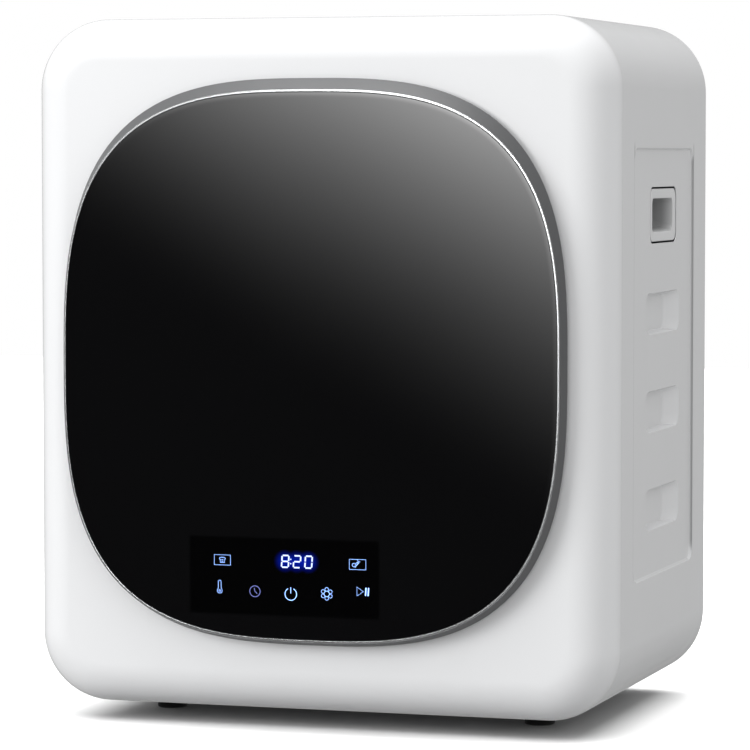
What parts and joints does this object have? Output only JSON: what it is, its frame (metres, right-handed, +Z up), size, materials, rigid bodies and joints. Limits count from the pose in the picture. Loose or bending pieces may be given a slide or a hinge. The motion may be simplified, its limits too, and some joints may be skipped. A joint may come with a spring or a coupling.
{
  "type": "clothes dryer",
  "caption": "Compact front loading vented clothes dryer with a glossy white shell, a black glass door with a lit touch display, and a belt driven steel drum.",
  "frame": {"origin": "bottom centre of the whole dryer, on the floor under its feet", "axes": "+X to the right of a person facing the door, +Y from the door to the back, +Z up"},
  "size_m": [0.59, 0.4456, 0.692],
  "materials": {
    "gloss_white_shell": "moulded shell, high gloss",
    "painted_white_steel": "smooth white enamel on pressed sheet steel",
    "soft_white_plastic": "satin moulded plastic",
    "black_glass": "tempered black glass, polished, with a lit display behind it",
    "silver_trim": "bright satin trim",
    "dark_grey_frame": "fine satin moulded plastic",
    "mid_grey_plastic": "satin moulded plastic",
    "black_plastic": "glass filled plastic",
    "black_rubber": "matt moulded rubber",
    "stainless_steel": "brushed stainless steel",
    "zinc_steel": "zinc plated sheet steel with a faint spangle",
    "cast_alloy": "die cast aluminium",
    "wool_felt": "pressed wool felt",
    "circuit_board": "green board with solder mask and components"
  },
  "bodies": {
    "root": {"front_shell": "gloss_white_shell", "cabinet_wrap": "painted_white_steel", "base_plate": "zinc_steel", "handle_cup_left": "soft_white_plastic", "handle_cup_right": "soft_white_plastic", "rear_cover": "zinc_steel", "exhaust_collar": "soft_white_plastic", "cord_gland": "black_plastic", "hinge_bracket": "zinc_steel", "catch_magnet": "dark_grey_frame", "door_switch": "black_plastic", "foot_front_left": "black_rubber", "foot_front_right": "black_rubber", "foot_rear_left": "black_rubber", "foot_rear_right": "black_rubber", "mouth_ring": "soft_white_plastic", "front_felt": "wool_felt", "rear_felt": "wool_felt", "spindle_bracket": "cast_alloy", "drum_spindle": "stainless_steel", "motor_stator": "zinc_steel", "motor_end_front": "cast_alloy", "motor_end_rear": "cast_alloy", "motor_bracket": "zinc_steel", "idler_post": "zinc_steel", "idler_spring": "stainless_steel", "heater_duct": "zinc_steel", "ptc_heater": "cast_alloy", "thermostat": "black_plastic", "control_box": "soft_white_plastic", "control_board": "circuit_board", "front_bulkhead": "zinc_steel", "rear_bulkhead": "zinc_steel", "fan_scroll": "black_plastic", "drum_belt": "black_rubber", "fan_belt": "black_rubber"},
    "door": {"door_glass": "black_glass", "door_trim_ring": "silver_trim", "door_frame": "dark_grey_frame", "door_liner": "mid_grey_plastic", "door_seal": "black_rubber", "door_hinge_leaf": "zinc_steel", "hinge_pin": "stainless_steel", "keeper_plate": "zinc_steel", "display_board": "circuit_board", "display_light_guide": "soft_white_plastic"},
    "drum": {"drum": "stainless_steel", "drum_lifter_1": "soft_white_plastic", "drum_lifter_2": "soft_white_plastic", "drum_lifter_3": "soft_white_plastic", "drum_hub": "cast_alloy", "drum_bearing": "zinc_steel"},
    "lint_filter": {"lint_filter": "mid_grey_plastic"},
    "motor_rotor": {"motor_rotor": "cast_alloy", "drum_drive_pulley": "cast_alloy", "fan_drive_pulley": "cast_alloy"},
    "impeller": {"impeller": "black_plastic", "fan_pulley": "cast_alloy"},
    "idler_arm": {"idler_arm": "zinc_steel"},
    "idler_pulley": {"idler_pulley": "black_plastic"}
  },
  "joints": [
    {"name": "door_hinge", "type": "hinge", "parent": "root", "child": "door", "pos_m": [-0.24633, -0.2107, 0.35925], "axis": [0, 0, -1], "range_deg": [0, 110]},
    {"name": "drum_spin", "type": "hinge", "parent": "root", "child": "drum", "pos_m": [0, -0.0012, 0.362], "axis": [0, 1, 0], "continuous": true},
    {"name": "filter_pull", "type": "slide", "parent": "drum", "child": "lint_filter", "axis": [0, -1, 0], "range_m": [0, 0.1]},
    {"name": "motor_spin", "type": "hinge", "parent": "root", "child": "motor_rotor", "pos_m": [0.205, 0.0498, 0.095], "axis": [0, 1, 0], "continuous": true},
    {"name": "impeller_spin", "type": "hinge", "parent": "root", "child": "impeller", "pos_m": [0, 0.1788, 0.362], "axis": [0, 1, 0], "continuous": true},
    {"name": "idler_swing", "type": "hinge", "parent": "root", "child": "idler_arm", "pos_m": [0.0356, -0.0432, 0.06325], "axis": [0, 1, 0], "range_deg": [0, 14], "stiffness_Nm_per_rad": 1.5, "springref_deg": -28.65},
    {"name": "idler_spin", "type": "hinge", "parent": "idler_arm", "child": "idler_pulley", "pos_m": [0.0816, -0.0392, 0.08725], "axis": [0, 1, 0], "continuous": true}
  ],
  "couplings": [
    {"joint": "motor_spin", "follows": "drum_spin", "ratio": 28.667},
    {"joint": "impeller_spin", "follows": "drum_spin", "ratio": 21.188},
    {"joint": "idler_spin", "follows": "drum_spin", "ratio": -17.2}
  ]
}
